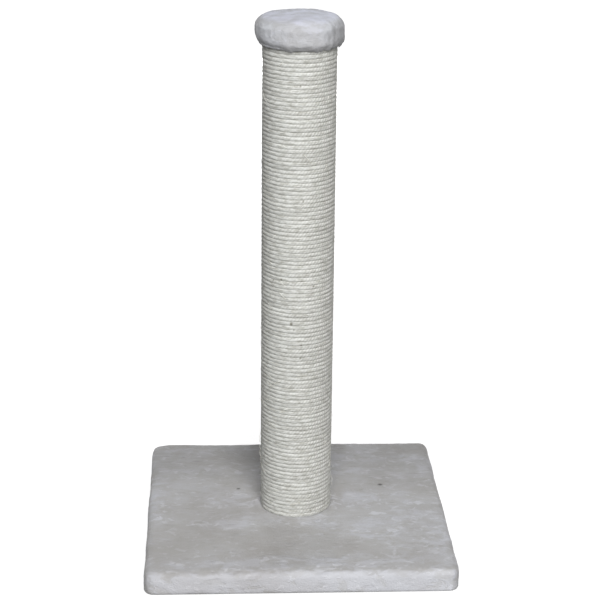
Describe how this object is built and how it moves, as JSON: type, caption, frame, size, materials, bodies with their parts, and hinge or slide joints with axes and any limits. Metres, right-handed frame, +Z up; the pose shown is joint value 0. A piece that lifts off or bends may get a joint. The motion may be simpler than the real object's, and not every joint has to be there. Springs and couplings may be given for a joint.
{
  "type": "cat scratching post",
  "caption": "Free-standing cat scratching post: rope-wound upright tube on a square plush-covered base, with a round padded plush cap.",
  "frame": {"origin": "middle of the base, on the floor under the foot pads", "axes": "+Z up along the post, -Y towards the front of the picture, +X to its right"},
  "size_m": [0.4, 0.4, 0.7035],
  "materials": {
    "plush": "short-pile polyester plush, light grey, brushed",
    "particle_board": "raw three-layer particle board",
    "liner_felt": "needled non-woven felt, dark grey",
    "foot_eva": "closed-cell EVA foam sheet, die-cut",
    "kraft_board": "spiral-wound kraft cardboard",
    "plywood": "birch plywood, turned edge",
    "mdf": "medium-density fibreboard",
    "sisal": "bleached three-strand sisal rope",
    "zinc_steel": "bright zinc-plated steel",
    "staple_steel": "galvanised steel wire",
    "foam": "open-cell polyurethane foam"
  },
  "bodies": {
    "root": {"base_board": "particle_board", "base_cover": "plush", "base_hem_staples": "staple_steel", "base_liner": "liner_felt", "foot_pad_front_left": "foot_eva", "foot_pad_front_right": "foot_eva", "foot_pad_back_left": "foot_eva", "foot_pad_back_right": "foot_eva", "base_washer": "zinc_steel", "base_bolt": "zinc_steel", "bottom_plug": "plywood", "bottom_tee_nut": "zinc_steel", "bottom_plug_staples": "staple_steel", "post_tube": "kraft_board", "top_plug": "plywood", "top_tee_nut": "zinc_steel", "top_plug_staples": "staple_steel", "sisal_rope_lower_turns": "sisal", "sisal_rope_upper_turns": "sisal", "cap_stud": "zinc_steel", "cap_tee_nut": "zinc_steel", "cap_disc": "mdf", "cap_foam": "foam", "cap_cover": "plush", "cap_staples": "staple_steel"}
  },
  "joints": []
}
